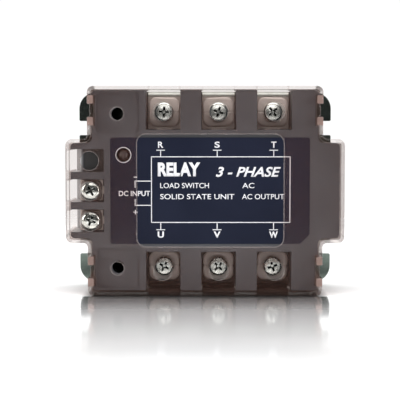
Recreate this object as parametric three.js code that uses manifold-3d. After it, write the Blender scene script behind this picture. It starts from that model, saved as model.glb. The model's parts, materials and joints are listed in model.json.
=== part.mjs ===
// Three-phase panel-mount solid state relay with a lift-off clear cover, in millimetres, +Z up.
// X runs along the relay, Y runs from the front (negative) to the mounting face (Y = 0), and the
// origin is the centre of the mounting face. Line terminals R, S, T are at the top, load terminals
// U, V, W at the bottom and the control terminals on the left wing.
import * as THREE from 'three';
import { mergeVertices } from 'three/addons/utils/BufferGeometryUtils.js';
import Module from 'manifold-3d';

const wasm = await Module();
wasm.setup();

// ---- Driving dimensions -------------------------------------------------------------------------
const FIT_GAP = 0.3; // clearance between the cover and the housing, and round most internal pieces
const CIRCLE_STEPS = 16;
const SMALL_STEPS = 12;

const PLATE = { width: 100.5, height: 76, thickness: 3, cornerRadius: 6.5 };
const MOUNT_SLOT = { width: 5.6, pitchZ: 47.6, endX: 47 };

const COVER = {
  halfWidth: 52.5,
  halfHeight: 39.5,
  halfBody: 44.3,
  halfWing: 19.6,
  wall: 1.2,
  front: -33,
  back: -6,
};
const WINDOW = { x: 2, z: 0.25, width: 55, height: 42.2, radius: 3.3 };

const WIRE_ENTRY = { halfWidth: 6.2, front: -20, cornerRadius: 2 };
const CONTROL_ENTRY = { halfHeight: 3.9, front: -28, cornerRadius: 1.5 };

const HOUSING = { front: -28.5, back: -PLATE.thickness, skin: 2 };
const INSET = COVER.wall + FIT_GAP;
const HOUSING_HALF = {
  width: COVER.halfWidth - INSET,
  height: COVER.halfHeight - INSET,
  body: COVER.halfBody - INSET,
  wing: COVER.halfWing - INSET,
};

// Corner radii of the plus-shaped outlines: at the wings' tips, between wing and body, at the body.
const OUTLINE_RADII = {
  cover: { wing: 2.5, inner: 1.5, body: 2.3 },
  coverInside: { wing: 1.3, inner: 2.7, body: 1.1 },
  housing: { wing: 1.5, inner: 2, body: 1.5 },
};

// Latch tongues in the cover's end walls, each between two ribs that run in a groove of the housing.
const LATCH = { z: 30.4, halfTongue: 2.45, halfRibs: 5.65, recess: 1, ribDepth: 1.1 };

const POWER = {
  centreX: 5.2,
  pitch: 21.1,
  z: 30,
  pocketHalfWidth: 6.6,
  pocketInner: 23.2,
  floor: -13,
  stepZ: 36, // the pocket's floor ends here, and the terminal bends back over its edge
  stepFloor: -9,
  wellRadius: 3.5, // room round the threaded boss
  slotHalfWidth: 3.3, // slot for the tongue that leads to the board
  slotDepth: 1.3,
};
const CONTROL = {
  x: -43.5,
  pitch: 11.45,
  pocketHalfHeight: 4.35,
  pocketInner: -38.3,
  floor: -23.2,
  floorEnd: -48,
  edgeRadius: 1.5,
  recessBack: -6,
  wellRadius: 3.3,
  wellDepth: 4.3,
  slotHalfWidth: 1.8,
  slotDepth: 1.1,
};
const ACCESS_RADIUS = 3.75;
const FILL_HOLE = { x: -33, z: 29.1, radius: 2.4 };
const FILL_PANEL = { left: -41, right: -25, low: 21.9, high: 36.9, depth: 0.5, radius: 1.2 };

// Space inside the housing: the middle, the right wing, the corners and a low part behind the pockets.
const CAVITY = {
  left: -36,
  right: 40.2,
  halfHeight: 20.7,
  wingRight: 48.8,
  halfWing: 16,
  rim: 36,
  shallowRim: 33.6,
  cornerLeft: [-39.9, -24.8],
  cornerRight: [35, 39.9],
  leftWing: { x: [-46.4, -38], front: -16.9 },
};
const SCREW_POST = { radius: 3.2, front: -13, bore: 1.6, boreFront: -10 };
const LABEL = { left: -35.9, right: 39.7, low: -20.2, high: 20.2, thickness: 0.2, chamfer: 3.6 };
const LED = {
  x: -30.9,
  z: 13.6,
  radius: 2.5,
  gap: 0.15,
  flangeRadius: 2.9,
  flange: 1,
  tip: -28.6,
  base: -19.6,
  leadOffset: 1.27,
  halfLead: 0.25,
};
const BOARD = { left: -35.4, right: 39.6, halfHeight: 19.8, front: -17.6, back: -16 };

// M4 terminal screws with a split spring washer and a square clamp washer.
const SCREW = { headHeight: 2.4, shankRadius: 1.85, holeRadius: 2.1, tipChamfer: 0.6 };
const RECESS = { reach: 1.95, halfSlot: 0.45, depth: 1.5 };
const POWER_CLAMP = {
  halfWidth: 6,
  halfLength: 5.65,
  thickness: 1,
  radius: 2.6,
  screwLength: 8,
  headRadius: 3.65,
};
const CONTROL_CLAMP = {
  halfWidth: 3.9,
  halfLength: 4.1,
  thickness: 0.8,
  radius: 1.6,
  screwLength: 6,
  headRadius: 3.5,
};
const REST_GAP = 0.05; // between the terminal and the clamp washer that lies on it
const WASHER = { inner: 2.1, outer: 3.4, thickness: 0.85, splitDeg: 12 };

// A terminal is a plate with a threaded boss behind it and a tongue that ends in a pin in the board.
const POWER_TERMINAL = {
  thickness: 1,
  bendInner: 1,
  bendOuter: 2,
  legEnd: -9.6,
  tongueHalfWidth: 3,
  tongueEnd: -12.5,
  pinHalfWidth: 0.6,
  pinLength: 1.2,
  pinTip: 0.8,
  bossRadius: 3.2,
  bossDepth: 3,
};
const CONTROL_TERMINAL = {
  thickness: 0.8,
  plate: [-4.4, 4.2],
  tongueHalfWidth: 1.5,
  tongueEnd: -10.6,
  pinHalfWidth: 0.5,
  pinLength: 0.8,
  pinTip: 0.6,
  bossRadius: 3,
  bossDepth: 2.8,
};

const PLATE_SCREW = { headRadius: 2.8, headDepth: 1.6, radius: 1.4, length: 9, clearance: 0.2, sunk: 0.15 };
const PLATE_RECESS = { reach: 1.5, halfSlot: 0.55, depth: 1.1 };
const PLATE_SCREW_SPOTS = [[-38, 33.6], [37.6, 33.6], [-38, -33.6], [37.6, -33.6]];

const TRIAC = {
  halfWidth: 7.8,
  low: -5.5,
  high: 14.5,
  back: -3.9,
  front: -8.5,
  leadPitch: 5.45,
  halfLead: 0.6,
  leadReach: 3.5,
  leadY: [-6.8, -6.2],
  leadTip: 0.7,
};
const INSULATOR = { halfWidth: 9, low: -7, high: 16, thickness: 0.8 };
const RESIN = { front: -12.4, back: -3.3, halfHeight: 20.3, roomFront: -8.8, leadHalfWidth: 6.5 };
const OPTOCOUPLER = {
  z: 2,
  halfWidth: 3.2,
  halfLength: 4.35,
  y: [-21.9, -18.4],
  legPitch: 2.54,
  halfLeg: 0.4,
  legY: [-20.3, -20],
  footX: [3.6, 3.9],
};
const CAPACITOR = { z: -14.4, width: 10.5, height: 4, depth: 8, radius: 0.5 };
const RESISTOR = { z: 11.2, lift: 2, halfWire: 0.25, wireFrom: 4, wireTo: 6.3, wireDrop: 5.8 };
const BOARD_HOLES = {
  powerZ: 18.1,
  powerHalf: 0.9,
  leadHalf: [0.9, 0.6],
  controlX: [-34.1, -32.5],
  controlHalf: 0.8,
};

// ---- Solids and booleans ------------------------------------------------------------------------
function solid(geometry) {
  const bare = geometry.index ? geometry.toNonIndexed() : geometry.clone();
  bare.deleteAttribute('normal');
  bare.deleteAttribute('uv');
  const merged = mergeVertices(bare, 1e-4);
  return new wasm.Manifold(new wasm.Mesh({
    numProp: 3,
    vertProperties: new Float32Array(merged.attributes.position.array),
    triVerts: new Uint32Array(merged.index.array),
  }));
}

function geometryOf(manifold) {
  const mesh = manifold.getMesh();
  const geometry = new THREE.BufferGeometry();
  geometry.setAttribute('position', new THREE.BufferAttribute(mesh.vertProperties, 3));
  geometry.setIndex(new THREE.BufferAttribute(mesh.triVerts, 1));
  geometry.computeVertexNormals();
  return geometry;
}

const joined = (first, ...others) => others.reduce((sum, other) => sum.add(other), first);
const cut = (first, ...others) => others.reduce((rest, other) => rest.subtract(other), first);

function box([x0, x1], [y0, y1], [z0, z1]) {
  const geometry = new THREE.BoxGeometry(x1 - x0, y1 - y0, z1 - z0);
  geometry.translate((x0 + x1) / 2, (y0 + y1) / 2, (z0 + z1) / 2);
  return solid(geometry);
}

function rod(x, z, radius, [y0, y1], steps = CIRCLE_STEPS) {
  const geometry = new THREE.CylinderGeometry(radius, radius, y1 - y0, steps);
  geometry.translate(x, (y0 + y1) / 2, z);
  return solid(geometry);
}

// An outline in X and Z, extruded from the plane Y = back forwards to Y = front.
function slab(shape, back, front, curveSegments = CIRCLE_STEPS) {
  const depth = back - front;
  const geometry = new THREE.ExtrudeGeometry(shape, { depth, bevelEnabled: false, curveSegments });
  geometry.rotateX(Math.PI / 2);
  geometry.translate(0, back, 0);
  return solid(geometry);
}

// A profile in Z and Y, extruded along X from -halfWidth to halfWidth.
function rail(points, halfWidth) {
  const shape = new THREE.Shape(points.map(([z, y]) => new THREE.Vector2(-z, y)));
  const geometry = new THREE.ExtrudeGeometry(shape, { depth: 2 * halfWidth, bevelEnabled: false });
  geometry.rotateY(Math.PI / 2);
  geometry.translate(-halfWidth, 0, 0);
  return solid(geometry);
}

// A closed outline whose corners [x, z, radius] are rounded, listed counter-clockwise.
function roundedShape(corners, steps = 4) {
  const points = [];
  corners.forEach(([x, z, radius = 0], index) => {
    const corner = new THREE.Vector2(x, z);
    if (!radius) {
      points.push(corner);
      return;
    }
    const before = new THREE.Vector2(...corners.at(index - 1)).sub(corner).normalize();
    const after = new THREE.Vector2(...corners[(index + 1) % corners.length]).sub(corner).normalize();
    const halfAngle = Math.acos(before.dot(after)) / 2;
    const inset = radius / Math.tan(halfAngle);
    const centre = before.clone().add(after).normalize().multiplyScalar(radius / Math.sin(halfAngle));
    centre.add(corner);
    const start = before.clone().multiplyScalar(inset).add(corner).sub(centre);
    const turn = Math.sign(before.cross(after)) * (2 * halfAngle - Math.PI);
    for (let step = 0; step <= steps; step += 1) {
      const spoke = start.clone().rotateAround(new THREE.Vector2(), (turn * step) / steps);
      points.push(spoke.add(centre));
    }
  });
  return new THREE.Shape(points);
}

function rectangle(x, z, width, height, radius, steps) {
  const [w, h] = [width / 2, height / 2];
  return roundedShape(
    [[x - w, z - h, radius], [x + w, z - h, radius], [x + w, z + h, radius], [x - w, z + h, radius]],
    steps,
  );
}

// The plus-shaped outline of the relay with a step of the given depth at each latch.
function plusShape(half, radii, step) {
  const quadrant = [
    [half.width, half.wing, radii.wing],
    [half.body, half.wing, radii.inner],
    [half.body, LATCH.z - step.half, 0],
    [half.body - step.depth, LATCH.z - step.half, 0],
    [half.body - step.depth, LATCH.z + step.half, 0],
    [half.body, LATCH.z + step.half, 0],
    [half.body, half.height, radii.body],
  ];
  const mirrored = (signX, signZ) => quadrant.map(([x, z, r]) => [signX * x, signZ * z, r]);
  return roundedShape([
    ...mirrored(1, 1),
    ...mirrored(-1, 1).reverse(),
    ...mirrored(-1, -1),
    ...mirrored(1, -1).reverse(),
  ]);
}

const powerX = [-1, 0, 1].map((step) => POWER.centreX + step * POWER.pitch);
const controlZ = [1, 0, -1].map((step) => step * CONTROL.pitch);

// ---- Base plate and its screws --------------------------------------------------------------------
function basePlate() {
  const { width, height, thickness, cornerRadius } = PLATE;
  const plate = slab(rectangle(0, 0, width, height, cornerRadius, 5), 0, -thickness);
  const slots = [-1, 1].flatMap((sideX) => [-1, 1].map((sideZ) => {
    const z = (sideZ * MOUNT_SLOT.pitchZ) / 2;
    const radius = MOUNT_SLOT.width / 2;
    const edge = [sideX * MOUNT_SLOT.endX, sideX * width].sort((a, b) => a - b);
    const throat = box(edge, [-thickness - 1, 1], [z - radius, z + radius]);
    return throat.add(rod(sideX * MOUNT_SLOT.endX, z, radius, [-thickness - 1, 1]));
  }));
  return cut(plate, ...slots, ...PLATE_SCREW_SPOTS.map(([x, z]) => (
    countersunk(x, z, PLATE_SCREW.clearance, 1, thickness + 1)
  )));
}

// The countersunk screw's solid, or the hole for it when it is given a clearance.
function countersunk(x, z, clearance, lift, length) {
  const { headRadius, headDepth, radius } = PLATE_SCREW;
  const rim = headRadius + clearance;
  const shank = radius + clearance;
  const profile = [[0, -length], [shank, -length], [shank, -headDepth], [rim, 0], [rim, lift], [0, lift]];
  const points = profile.map(([r, y]) => new THREE.Vector2(r, y));
  return solid(new THREE.LatheGeometry(points, SMALL_STEPS).translate(x, 0, z));
}

function plateScrew(x, z) {
  const screw = countersunk(x, z, 0, 0, PLATE_SCREW.length).translate([0, -PLATE_SCREW.sunk, 0]);
  return cut(screw, ...crossRecess(x, z, PLATE_RECESS, [-PLATE_RECESS.depth, 1], 0));
}

function crossRecess(x, z, { reach, halfSlot }, [y0, y1], turnDeg) {
  return [0, 90].map((armDeg) => {
    const arm = new THREE.BoxGeometry(2 * reach, y1 - y0, 2 * halfSlot);
    arm.rotateY(THREE.MathUtils.degToRad(turnDeg + armDeg));
    arm.translate(x, (y0 + y1) / 2, z);
    return solid(arm);
  });
}

// ---- Housing ----------------------------------------------------------------------------------------
function housing() {
  const { front, back, skin } = HOUSING;
  const grooves = { depth: LATCH.ribDepth, half: LATCH.halfRibs + FIT_GAP };
  const block = slab(plusShape(HOUSING_HALF, OUTLINE_RADII.housing, grooves), back, front);
  return cut(
    block,
    housingCavity(),
    ...powerX.flatMap((x) => [1, -1].flatMap((side) => powerPocket(x, side))),
    ...controlZ.map(controlPocket),
    ...controlZ.slice(1).flatMap(controlWell),
    ...[1, -1].flatMap(fillPort),
    rod(LED.x, LED.z, LED.radius + LED.gap, [front - 1, front + skin + 1]),
    ...PLATE_SCREW_SPOTS.map(([x, z]) => (
      rod(x, z, SCREW_POST.bore, [SCREW_POST.boreFront, back + 1], SMALL_STEPS)
    )),
  );
}

// The space behind the front skin, open towards the base plate.
function housingCavity() {
  const { front, back, skin } = HOUSING;
  const deep = [front + skin, back + 1];
  const shallow = [POWER.floor + skin, back + 1];
  const { left, right, halfHeight, wingRight, halfWing, rim, shallowRim, leftWing } = CAVITY;
  const spaces = joined(
    box([left, right], deep, [-halfHeight, halfHeight]),
    box([right - 1, wingRight], deep, [-halfWing, halfWing]),
    box([-right, right], shallow, [-shallowRim, shallowRim]),
    box(leftWing.x, [leftWing.front, back + 1], [-halfWing, halfWing]),
    ...[CAVITY.cornerLeft, CAVITY.cornerRight].flatMap((span) => [
      box(span, deep, [halfHeight - 1, rim]),
      box(span, deep, [-rim, 1 - halfHeight]),
    ]),
  );
  const { radius, front: postFront } = SCREW_POST;
  return cut(spaces, ...PLATE_SCREW_SPOTS.map(([x, z]) => rod(x, z, radius, [postFront, back + 2])));
}

function powerPocket(x, side) {
  const { pocketHalfWidth: w, pocketInner, floor, stepZ, stepFloor, slotHalfWidth: slot } = POWER;
  const span = (near, far) => (side > 0 ? [near, far] : [-far, -near]);
  const beyond = COVER.halfHeight + 1;
  const air = HOUSING.front - 1;
  return [
    box([x - w, x + w], [air, floor], span(pocketInner, beyond)),
    box([x - w, x + w], [air, stepFloor], span(stepZ, beyond)),
    rod(x, side * POWER.z, POWER.wellRadius, [floor - 1, floor + HOUSING.skin + 1]),
    box(
      [x - slot, x + slot],
      [floor - POWER.slotDepth, floor + FIT_GAP],
      span(CAVITY.halfHeight - 1, pocketInner + 1),
    ),
  ];
}

// A pocket open to the left, whose floor ends in a rounded edge short of the wing's side.
function controlPocket(z) {
  const { pocketHalfHeight, pocketInner, floor, floorEnd, edgeRadius, recessBack } = CONTROL;
  const beyond = -COVER.halfWidth - 1;
  const air = HOUSING.front - 1;
  const outline = new THREE.Shape();
  outline.moveTo(beyond, air);
  outline.lineTo(pocketInner, air);
  outline.lineTo(pocketInner, floor);
  outline.lineTo(floorEnd + edgeRadius, floor);
  outline.absarc(floorEnd + edgeRadius, floor + edgeRadius, edgeRadius, -Math.PI / 2, -Math.PI, true);
  outline.lineTo(floorEnd, recessBack);
  outline.lineTo(beyond, recessBack);
  const depth = 2 * pocketHalfHeight;
  const geometry = new THREE.ExtrudeGeometry(outline, { depth, bevelEnabled: false, curveSegments: 4 });
  geometry.translate(0, 0, z - pocketHalfHeight);
  return solid(geometry);
}

// The well for the threaded boss, and the slot through which the terminal's tongue reaches the board.
function controlWell(z) {
  const { x, floor, pocketInner, wellRadius, wellDepth, slotDepth, slotHalfWidth: slot } = CONTROL;
  return [
    rod(x, z, wellRadius, [floor - 1, floor + wellDepth]),
    box([pocketInner - 1, CAVITY.left + 1], [floor - slotDepth, floor + FIT_GAP], [z - slot, z + slot]),
  ];
}

function fillPort(side) {
  const { left, right, low, high, depth, radius } = FILL_PANEL;
  const { front, skin } = HOUSING;
  const middle = (side * (low + high)) / 2;
  const panel = rectangle((left + right) / 2, middle, right - left, high - low, radius);
  return [
    slab(panel, front + depth, front - 1),
    rod(FILL_HOLE.x, side * FILL_HOLE.z, FILL_HOLE.radius, [front - 1, front + skin + 1]),
  ];
}

// ---- Clear cover ------------------------------------------------------------------------------------
function cover() {
  const { wall, front, back } = COVER;
  const { halfWidth, halfHeight, halfBody, halfWing } = COVER;
  const outer = { width: halfWidth, height: halfHeight, body: halfBody, wing: halfWing };
  const inner = Object.fromEntries(Object.entries(outer).map(([key, value]) => [key, value - wall]));
  const tongue = { depth: LATCH.recess, half: LATCH.halfTongue };
  const ribs = { depth: LATCH.ribDepth, half: LATCH.halfRibs };
  const shell = slab(plusShape(outer, OUTLINE_RADII.cover, tongue), back, front);
  const hollow = slab(plusShape(inner, OUTLINE_RADII.coverInside, ribs), back + 1, front + wall);
  const through = [front - 1, front + wall + 1];
  const pane = rectangle(WINDOW.x, WINDOW.z, WINDOW.width, WINDOW.height, WINDOW.radius, 6);
  return cut(
    shell,
    hollow,
    slab(pane, through[1], through[0]),
    ...powerX.flatMap((x) => [1, -1].flatMap((side) => [
      rod(x, side * POWER.z, ACCESS_RADIUS, through),
      wireEntry(x, side),
    ])),
    ...controlZ.flatMap((z) => [rod(CONTROL.x, z, ACCESS_RADIUS, through), controlEntry(z)]),
    ...[1, -1].map((side) => rod(FILL_HOLE.x, side * FILL_HOLE.z, FILL_HOLE.radius, through)),
  );
}

// Openings in the cover's skirt for the wires, open towards the base plate.
function skirtOpening(centre, halfWidth, frontY, radius, halfDepth) {
  const shape = roundedShape([
    [centre - halfWidth, frontY, radius],
    [centre + halfWidth, frontY, radius],
    [centre + halfWidth, COVER.back + 1],
    [centre - halfWidth, COVER.back + 1],
  ]);
  const geometry = new THREE.ExtrudeGeometry(shape, { depth: 2 * halfDepth, bevelEnabled: false });
  return geometry.translate(0, 0, -halfDepth);
}

function wireEntry(x, side) {
  const { halfWidth, front, cornerRadius } = WIRE_ENTRY;
  const opening = skirtOpening(x, halfWidth, front, cornerRadius, 2);
  return solid(opening.translate(0, 0, side * COVER.halfHeight));
}

function controlEntry(z) {
  const { halfHeight, front, cornerRadius } = CONTROL_ENTRY;
  const opening = skirtOpening(z, halfHeight, front, cornerRadius, 2);
  return solid(opening.rotateY(-Math.PI / 2).translate(-COVER.halfWidth, 0, 0));
}

// ---- Terminals, clamps and screws -------------------------------------------------------------------
// Each is built round its screw axis with its wire end towards +Z, then turned and placed.
function powerTerminal() {
  const { floor, pocketInner, pocketHalfWidth, stepZ, z: axisZ } = POWER;
  const { thickness, bendInner, bendOuter, legEnd } = POWER_TERMINAL;
  const top = floor - thickness;
  const bendStart = stepZ - axisZ;
  const inner = pocketInner + FIT_GAP - axisZ;
  const bendSteps = 3;
  const arc = (radius) => Array.from({ length: bendSteps + 1 }, (_, step) => {
    const angle = (step / bendSteps) * (Math.PI / 2);
    return [bendStart + radius * Math.sin(angle), floor + bendInner - radius * Math.cos(angle)];
  });
  const profile = [
    [inner, top],
    ...arc(bendOuter),
    [bendStart + bendOuter, legEnd],
    [bendStart + bendInner, legEnd],
    ...arc(bendInner).reverse(),
    [inner, floor],
  ];
  const plate = rail(profile.reverse(), pocketHalfWidth - FIT_GAP);
  return withTongueAndBoss(plate, POWER_TERMINAL, [top, floor], inner, [BOARD.front, floor]);
}

function controlTerminal() {
  const { floor } = CONTROL;
  const { thickness, plate: span } = CONTROL_TERMINAL;
  const top = floor - thickness;
  const plate = box([-CONTROL_CLAMP.halfWidth, CONTROL_CLAMP.halfWidth], [top, floor], span);
  return withTongueAndBoss(plate, CONTROL_TERMINAL, [top, floor], span[0], [BOARD.back, top]);
}

// Adds the tongue, its pin through the board and the threaded boss, and bores the screw hole.
function withTongueAndBoss(plate, sizes, [top, floor], inner, [boardFace, pinRoot]) {
  const { tongueHalfWidth, tongueEnd, pinHalfWidth, pinLength, pinTip, bossRadius, bossDepth } = sizes;
  const pinY = boardFace < pinRoot ? [boardFace - pinTip, pinRoot] : [pinRoot, boardFace + pinTip];
  return cut(
    joined(
      plate,
      box([-tongueHalfWidth, tongueHalfWidth], [top, floor], [tongueEnd, inner + 1]),
      box([-pinHalfWidth, pinHalfWidth], pinY, [tongueEnd, tongueEnd + pinLength]),
      rod(0, 0, bossRadius, [floor - 0.5, floor + bossDepth], SMALL_STEPS),
    ),
    rod(0, 0, SCREW.holeRadius, [top - 1, floor + bossDepth + 1], SMALL_STEPS),
  );
}

function clampWasher({ halfWidth, halfLength, thickness, radius }, back) {
  const outline = rectangle(0, 0, 2 * halfWidth, 2 * halfLength, radius, 3);
  outline.holes.push(new THREE.Path().absarc(0, 0, SCREW.holeRadius + 0.1, 0, 2 * Math.PI, true));
  return slab(outline, back, back - thickness, SMALL_STEPS);
}

function springWasher(back) {
  const { inner, outer, thickness, splitDeg } = WASHER;
  const half = THREE.MathUtils.degToRad(splitDeg / 2);
  const ring = new THREE.Shape();
  ring.absarc(0, 0, outer, half, 2 * Math.PI - half, false);
  ring.absarc(0, 0, inner, 2 * Math.PI - half, half, true);
  return slab(ring, back, back - thickness, SMALL_STEPS / 2);
}

// A pan head with a crowned top and a cross recess, on a plain shank.
function terminalScrew(underside, { screwLength, headRadius }, turnDeg) {
  const { headHeight, shankRadius, tipChamfer } = SCREW;
  const top = underside - headHeight;
  const tip = underside + screwLength;
  const crown = [[0, 0], [0.5, 0.03], [0.76, 0.14], [0.92, 0.4], [1, 0.75]];
  const profile = [
    ...crown.map(([share, drop]) => [share * headRadius, top + drop * headHeight]),
    [headRadius, underside],
    [shankRadius, underside],
    [shankRadius, tip - tipChamfer],
    [shankRadius - tipChamfer, tip],
    [0, tip],
  ].map(([r, y]) => new THREE.Vector2(r, y));
  const body = solid(new THREE.LatheGeometry(profile, CIRCLE_STEPS));
  return cut(body, ...crossRecess(0, 0, RECESS, [top - 1, top + RECESS.depth], turnDeg));
}

// ---- Inside the housing -----------------------------------------------------------------------------
function triac() {
  const { halfWidth, low, high, back, front, leadPitch, halfLead, leadReach, leadY, leadTip } = TRIAC;
  const tip = low - leadReach;
  const leads = [-1, 0, 1].flatMap((step) => {
    const span = [step * leadPitch - halfLead, step * leadPitch + halfLead];
    return [
      box(span, leadY, [tip, low + 1]),
      box(span, [BOARD.front - leadTip, leadY[1]], [tip, tip + halfLead]),
    ];
  });
  return joined(box([-halfWidth, halfWidth], [front, back], [low, high]), ...leads);
}

const around = (centre, half) => [centre - half, centre + half];
const ordered = (...ends) => ends.sort((a, b) => a - b);

function controlBoard() {
  const { left, right, halfHeight, front, back } = BOARD;
  const { powerZ, powerHalf, leadHalf, controlX, controlHalf } = BOARD_HOLES;
  const through = [front - 1, back + 1];
  const powerPins = powerX.flatMap((x) => [1, -1].map((side) => (
    box(around(x, powerHalf), through, around(side * powerZ, powerHalf))
  )));
  const leadZ = TRIAC.low - TRIAC.leadReach + TRIAC.halfLead / 2;
  const triacLeads = powerX.flatMap((x) => [-1, 0, 1].map((step) => (
    box(around(x + step * TRIAC.leadPitch, leadHalf[0]), through, around(leadZ, leadHalf[1]))
  )));
  const controlPins = controlZ.slice(1).map((z) => box(controlX, through, around(z, controlHalf)));
  const ledLeads = [-1, 1].map((side) => (
    box(around(LED.x + side * LED.leadOffset, 2 * LED.halfLead), through, around(LED.z, 2 * LED.halfLead))
  ));
  const board = box([left, right], [front, back], [-halfHeight, halfHeight]);
  return cut(board, ...powerPins, ...triacLeads, ...controlPins, ...ledLeads);
}

// Resin poured round the power devices, with room round each of them and their leads.
function resinFill() {
  const { front, back, halfHeight, roomFront, leadHalfWidth } = RESIN;
  const { halfWidth, low, high } = INSULATOR;
  const span = [CAVITY.left + FIT_GAP, CAVITY.right - FIT_GAP];
  const block = box(span, [front, back], [-halfHeight, halfHeight]);
  const rooms = powerX.flatMap((x) => [
    box(around(x, halfWidth + FIT_GAP), [roomFront, 0], [low - FIT_GAP, high + FIT_GAP]),
    box(around(x, leadHalfWidth), [front - 1, 0], [TRIAC.low - TRIAC.leadReach - 0.5, TRIAC.low - 1]),
  ]);
  return cut(block, ...rooms);
}

function statusLed() {
  const { x, z, radius, flangeRadius, flange, tip, base, leadOffset, halfLead } = LED;
  const domeSteps = 5;
  const dome = Array.from({ length: domeSteps }, (_, step) => {
    const angle = (step / domeSteps) * (Math.PI / 2);
    return [radius * Math.cos(angle), tip + radius * (1 - Math.sin(angle))];
  });
  const profile = [
    [0, base],
    [flangeRadius, base],
    [flangeRadius, base - flange],
    [radius, base - flange],
    ...dome,
    [0, tip],
  ].map(([r, y]) => new THREE.Vector2(r, y));
  const body = solid(new THREE.LatheGeometry(profile.reverse(), SMALL_STEPS).translate(x, 0, z));
  const leads = [-1, 1].map((side) => (
    box(around(x + side * leadOffset, halfLead), [base - 0.5, BOARD.back + 0.6], around(z, halfLead))
  ));
  return joined(body, ...leads);
}

function optocoupler(x) {
  const { z, halfWidth, halfLength, y, legPitch, halfLeg, legY, footX } = OPTOCOUPLER;
  const body = box(around(x, halfWidth), y, around(z, halfLength));
  const legs = [-1, 1].flatMap((side) => [-1, 0, 1].flatMap((step) => {
    const span = around(z + step * legPitch, halfLeg);
    const arm = ordered(x + side * (halfWidth - 0.2), x + side * footX[1]);
    const foot = ordered(x + side * footX[0], x + side * footX[1]);
    return [box(arm, legY, span), box(foot, [legY[0], BOARD.front], span)];
  }));
  return joined(body, ...legs);
}

function snubberCapacitor(x) {
  const { z, width, height, depth, radius } = CAPACITOR;
  return slab(rectangle(x, z, width, height, radius, 3), BOARD.front, BOARD.front - depth);
}

// An axial resistor with thicker ends, standing off the board on its two bent wires.
function snubberResistor(x) {
  const { z, lift, halfWire, wireFrom, wireTo, wireDrop } = RESISTOR;
  const y = BOARD.front - lift;
  const half = [[1.35, 2.8], [1.6, 3.2], [1.6, 4.1], [1.4, 4.5], [0, 4.5]];
  const outline = [...half.map(([r, along]) => [r, -along]).reverse(), ...half];
  const profile = outline.map(([r, along]) => new THREE.Vector2(r, along));
  const barrel = new THREE.LatheGeometry(profile, SMALL_STEPS).rotateZ(-Math.PI / 2).translate(x, y, z);
  const wires = [-1, 1].flatMap((side) => {
    const arm = ordered(x + side * wireFrom, x + side * wireTo);
    const drop = ordered(x + side * wireDrop, x + side * wireTo);
    const band = around(z, halfWire);
    return [box(arm, around(y, halfWire), band), box(drop, [y, BOARD.front], band)];
  });
  return joined(solid(barrel), ...wires);
}

function label() {
  const { left, right, low, high, thickness, chamfer } = LABEL;
  const outline = roundedShape([
    [left, low, 0.6],
    [right - chamfer, low, 0],
    [right, low + chamfer, 0],
    [right, high, 0.6],
    [left, high, 0.6],
  ], 3);
  outline.holes.push(new THREE.Path().absarc(LED.x, LED.z, LED.radius + 0.1, 0, 2 * Math.PI, true));
  return slab(outline, HOUSING.front, HOUSING.front - thickness);
}

// ---- Materials and the assembled relay --------------------------------------------------------------
const finish = (color, roughness, metalness, extra = {}) => (
  new THREE.MeshStandardMaterial({ color, roughness, metalness, ...extra })
);
const MATERIALS = {
  plate: finish(0x8f9a92, 0.4, 0.9),
  housing: finish(0x38383a, 0.55, 0),
  cover: finish(0xb09c94, 0.1, 0, { transparent: true, opacity: 0.35 }),
  label: finish(0x1f2434, 0.3, 0),
  led: finish(0x6b3a34, 0.2, 0),
  board: finish(0x2f5a3a, 0.5, 0),
  resin: finish(0x2a2a2c, 0.5, 0),
  epoxy: finish(0x1c1c1e, 0.6, 0),
  ceramic: finish(0xe8e6df, 0.5, 0),
  film: finish(0xc8a23c, 0.5, 0),
  resistor: finish(0x7f9bb5, 0.5, 0),
  nickel: finish(0xb5b2a8, 0.3, 1),
  zinc: finish(0xa8aaa2, 0.25, 1),
};

const relay = new THREE.Group();
relay.name = 'solid_state_relay';

function place(name, manifold, material, { x = 0, z = 0, turn = 0 } = {}) {
  const mesh = new THREE.Mesh(geometryOf(manifold), MATERIALS[material]);
  mesh.name = name;
  mesh.position.set(x, 0, z);
  mesh.rotation.y = turn;
  relay.add(mesh);
}

// Clamp washer, spring washer and screw stacked in front of a terminal's face.
function placeClamp(name, spot, face, clamp, recessTurnDeg) {
  const clampBack = face - REST_GAP;
  const washerBack = clampBack - clamp.thickness;
  const underside = washerBack - WASHER.thickness;
  place(`${name}_clamp`, clampWasher(clamp, clampBack), 'nickel', spot);
  place(`${name}_spring_washer`, springWasher(washerBack), 'zinc', spot);
  place(`${name}_screw`, terminalScrew(underside, clamp, recessTurnDeg), 'zinc', spot);
}

place('base_plate', basePlate(), 'plate');
PLATE_SCREW_SPOTS.forEach(([x, z], index) => place(`plate_screw_${index + 1}`, plateScrew(x, z), 'zinc'));
place('housing', housing(), 'housing');
place('cover', cover(), 'cover');
place('label', label(), 'label');
place('status_led', statusLed(), 'led');
place('control_board', controlBoard(), 'board');
place('resin_fill', resinFill(), 'resin');

const POWER_TERMINALS = [
  { name: 'line_r', x: powerX[0], side: 1, recess: 4 },
  { name: 'line_s', x: powerX[1], side: 1, recess: 18 },
  { name: 'line_t', x: powerX[2], side: 1, recess: 50 },
  { name: 'load_u', x: powerX[0], side: -1, recess: 28 },
  { name: 'load_v', x: powerX[1], side: -1, recess: 43 },
  { name: 'load_w', x: powerX[2], side: -1, recess: 73 },
];
POWER_TERMINALS.forEach(({ name, x, side, recess }) => {
  const spot = { x, z: side * POWER.z, turn: side > 0 ? 0 : Math.PI };
  place(`${name}_terminal`, powerTerminal(), 'nickel', spot);
  placeClamp(name, spot, POWER.floor - POWER_TERMINAL.thickness, POWER_CLAMP, recess);
});

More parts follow.
